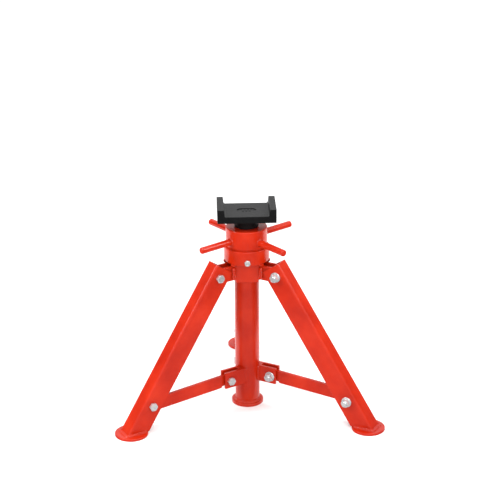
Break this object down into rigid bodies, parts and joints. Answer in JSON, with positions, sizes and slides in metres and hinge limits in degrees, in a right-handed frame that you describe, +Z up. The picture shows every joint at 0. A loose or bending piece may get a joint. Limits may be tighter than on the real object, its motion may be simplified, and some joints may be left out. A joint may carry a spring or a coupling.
{
  "type": "folding tripod support stand with screw spindle",
  "caption": "Folding tripod support stand: tube post with a screw spindle raised by a handled nut, swivel saddle with end lugs, channel legs and hooked braces.",
  "frame": {"origin": "centre of the underside of the post's base flange, on the floor", "axes": "+Z up along the post and the spindle, +X across the two front legs to the right, +Y towards the rear leg"},
  "size_m": [0.6488, 0.5726, 0.5232],
  "materials": {
    "red_paint": "gloss orange-red enamel",
    "black_paint": "semi-gloss black enamel over a cast surface",
    "bright_zinc": "bright zinc plate",
    "machined_steel": "turned bare steel, lightly oiled",
    "black_oxide": "black oxide"
  },
  "bodies": {
    "post": {"base_flange": "red_paint", "brace_bracket_left": "red_paint", "brace_bracket_rear": "red_paint", "brace_bracket_right": "red_paint", "bracket_bolts": "bright_zinc", "bracket_nuts": "bright_zinc", "bracket_washers": "bright_zinc", "collar_ring": "red_paint", "guide_screw": "bright_zinc", "hub_bolts": "bright_zinc", "hub_nuts": "bright_zinc", "hub_plate_front": "red_paint", "hub_plate_rear_left": "red_paint", "hub_plate_rear_right": "red_paint", "hub_washers": "bright_zinc", "post_tube": "red_paint", "thrust_washer": "red_paint"},
    "lift_nut_group": {"lift_nut": "red_paint", "nut_handle_1": "red_paint", "nut_handle_2": "red_paint", "nut_handle_3": "red_paint", "nut_handle_4": "red_paint"},
    "spindle_group": {"spindle": "machined_steel"},
    "saddle_group": {"saddle": "black_paint", "saddle_grub_screw": "black_oxide"},
    "leg_rear_group": {"brace_spacer_rear": "bright_zinc", "foot_plate_rear": "red_paint", "leg_bolt_rear": "bright_zinc", "leg_nut_rear": "bright_zinc", "leg_rear": "red_paint", "leg_washer_rear": "bright_zinc"},
    "brace_rear_group": {"brace_rear": "red_paint"},
    "leg_left_group": {"brace_spacer_left": "bright_zinc", "foot_plate_left": "red_paint", "leg_bolt_left": "bright_zinc", "leg_left": "red_paint", "leg_nut_left": "bright_zinc", "leg_washer_left": "bright_zinc"},
    "brace_left_group": {"brace_left": "red_paint"},
    "leg_right_group": {"brace_spacer_right": "bright_zinc", "foot_plate_right": "red_paint", "leg_bolt_right": "bright_zinc", "leg_nut_right": "bright_zinc", "leg_right": "red_paint", "leg_washer_right": "bright_zinc"},
    "brace_right_group": {"brace_right": "red_paint"}
  },
  "joints": [
    {"name": "nut_spin", "type": "hinge", "parent": "post", "child": "lift_nut_group", "pos_m": [0, 0, 0.4366], "axis": [0, 0, -1], "range_deg": [0, 19800]},
    {"name": "spindle_slide", "type": "slide", "parent": "post", "child": "spindle_group", "axis": [0, 0, 1], "range_m": [0, 0.33]},
    {"name": "saddle_swivel", "type": "hinge", "parent": "spindle_group", "child": "saddle_group", "pos_m": [0, 0, 0.478], "axis": [0, 0, 1], "continuous": true},
    {"name": "leg_rear_fold", "type": "hinge", "parent": "post", "child": "leg_rear_group", "pos_m": [0, 0.088, 0.356], "axis": [-1, 0, 0], "range_deg": [0, 25]},
    {"name": "brace_rear_fold", "type": "hinge", "parent": "leg_rear_group", "child": "brace_rear_group", "pos_m": [0, 0.279, 0.0685], "axis": [-1, 0, 0], "range_deg": [0, 53.5]},
    {"name": "leg_left_fold", "type": "hinge", "parent": "post", "child": "leg_left_group", "pos_m": [-0.07621, -0.044, 0.356], "axis": [0.5, -0.866, 0], "range_deg": [0, 25]},
    {"name": "brace_left_fold", "type": "hinge", "parent": "leg_left_group", "child": "brace_left_group", "pos_m": [-0.24162, -0.1395, 0.0685], "axis": [0.5, -0.866, 0], "range_deg": [0, 53.5]},
    {"name": "leg_right_fold", "type": "hinge", "parent": "post", "child": "leg_right_group", "pos_m": [0.07621, -0.044, 0.356], "axis": [0.5, 0.866, 0], "range_deg": [0, 25]},
    {"name": "brace_right_fold", "type": "hinge", "parent": "leg_right_group", "child": "brace_right_group", "pos_m": [0.24162, -0.1395, 0.0685], "axis": [0.5, 0.866, 0], "range_deg": [0, 53.5]}
  ],
  "couplings": [
    {"joint": "spindle_slide", "follows": "nut_spin", "m_per_rad": 0.00095493},
    {"joint": "brace_rear_fold", "follows": "leg_rear_fold", "ratio": 2.1397},
    {"joint": "brace_left_fold", "follows": "leg_left_fold", "ratio": 2.1397},
    {"joint": "brace_right_fold", "follows": "leg_right_fold", "ratio": 2.1397}
  ]
}
